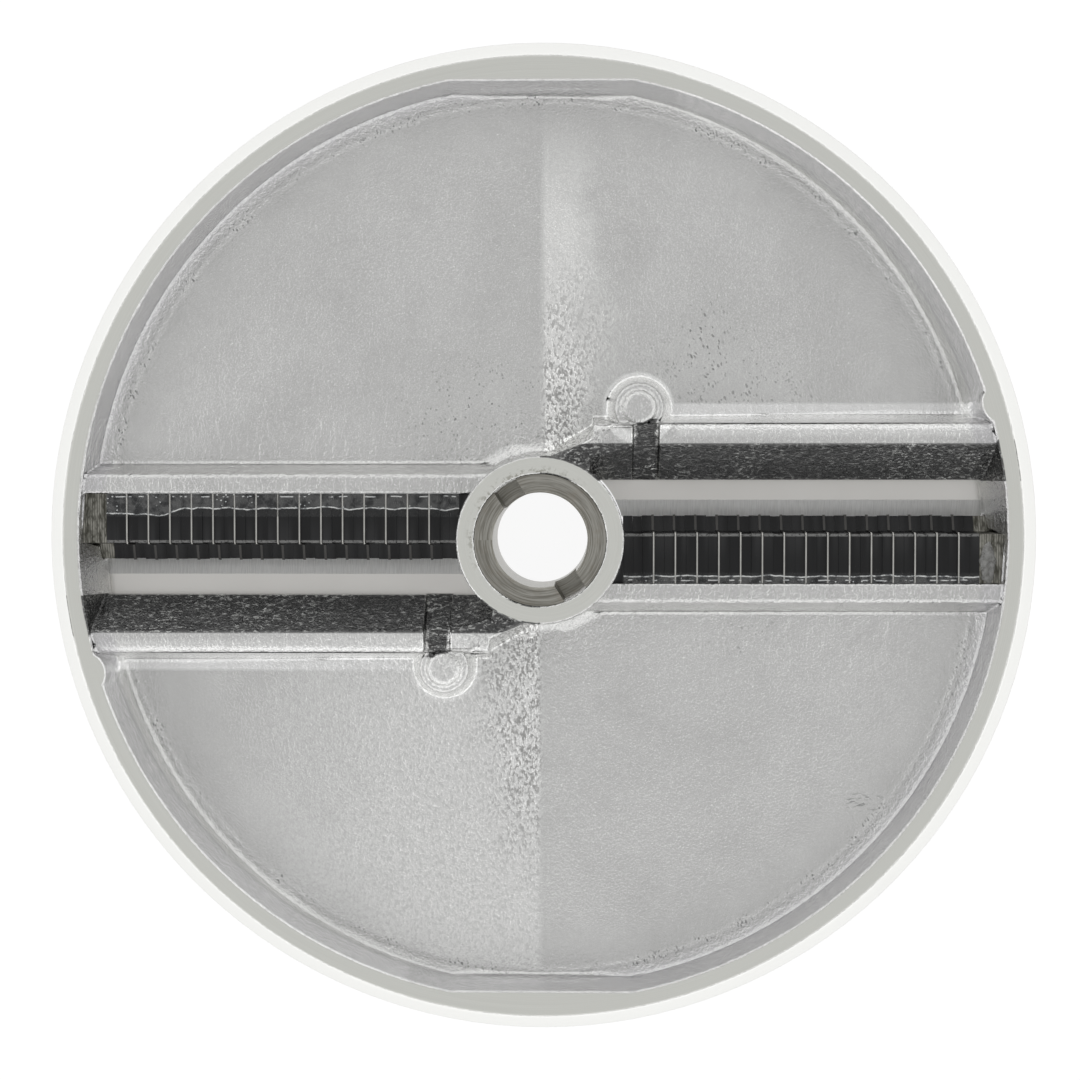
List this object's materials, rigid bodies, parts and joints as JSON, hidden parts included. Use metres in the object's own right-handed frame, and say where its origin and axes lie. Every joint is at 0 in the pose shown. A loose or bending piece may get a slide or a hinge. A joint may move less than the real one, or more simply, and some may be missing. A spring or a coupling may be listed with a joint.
{
  "type": "julienne disc",
  "caption": "Cast round cutting disc for a vegetable cutter: slicing blades behind combs of upright blades, with a steel bush in its hub.",
  "frame": {"origin": "on the bore's axis, at the plane of the working face that the disc lies on", "axes": "+Z along the bore towards the underside, which is up; +X along one slot, from the hub to the rim"},
  "size_m": [0.205, 0.205, 0.0265],
  "materials": {
    "cast_aluminium": "bright as-cast skin, machined on the rim and hub faces",
    "bush_steel": "turned steel",
    "blade_steel": "ground steel",
    "comb_steel": "rolled strip steel",
    "screw_steel": "plain steel",
    "shim_steel": "thin strip, dulled by resin",
    "spacer_plastic": "black moulded plastic",
    "resin": "clear cured resin"
  },
  "bodies": {
    "root": {"disc_body": "cast_aluminium", "hub_bush": "bush_steel", "blade_screws": "screw_steel", "main_blade_1": "blade_steel", "comb_1_blade_01": "comb_steel", "comb_1_blade_02": "comb_steel", "comb_1_blade_03": "comb_steel", "comb_1_blade_04": "comb_steel", "comb_1_blade_05": "comb_steel", "comb_1_blade_06": "comb_steel", "comb_1_blade_07": "comb_steel", "comb_1_blade_08": "comb_steel", "comb_1_blade_09": "comb_steel", "comb_1_blade_10": "comb_steel", "comb_1_blade_11": "comb_steel", "comb_1_blade_12": "comb_steel", "comb_1_blade_13": "comb_steel", "comb_1_blade_14": "comb_steel", "comb_1_blade_15": "comb_steel", "comb_1_spacers": "spacer_plastic", "comb_1_shims": "shim_steel", "comb_1_resin": "resin", "main_blade_2": "blade_steel", "comb_2_blade_01": "comb_steel", "comb_2_blade_02": "comb_steel", "comb_2_blade_03": "comb_steel", "comb_2_blade_04": "comb_steel", "comb_2_blade_05": "comb_steel", "comb_2_blade_06": "comb_steel", "comb_2_blade_07": "comb_steel", "comb_2_blade_08": "comb_steel", "comb_2_blade_09": "comb_steel", "comb_2_blade_10": "comb_steel", "comb_2_blade_11": "comb_steel", "comb_2_blade_12": "comb_steel", "comb_2_blade_13": "comb_steel", "comb_2_blade_14": "comb_steel", "comb_2_blade_15": "comb_steel", "comb_2_spacers": "spacer_plastic", "comb_2_shims": "shim_steel", "comb_2_resin": "resin"}
  },
  "joints": []
}
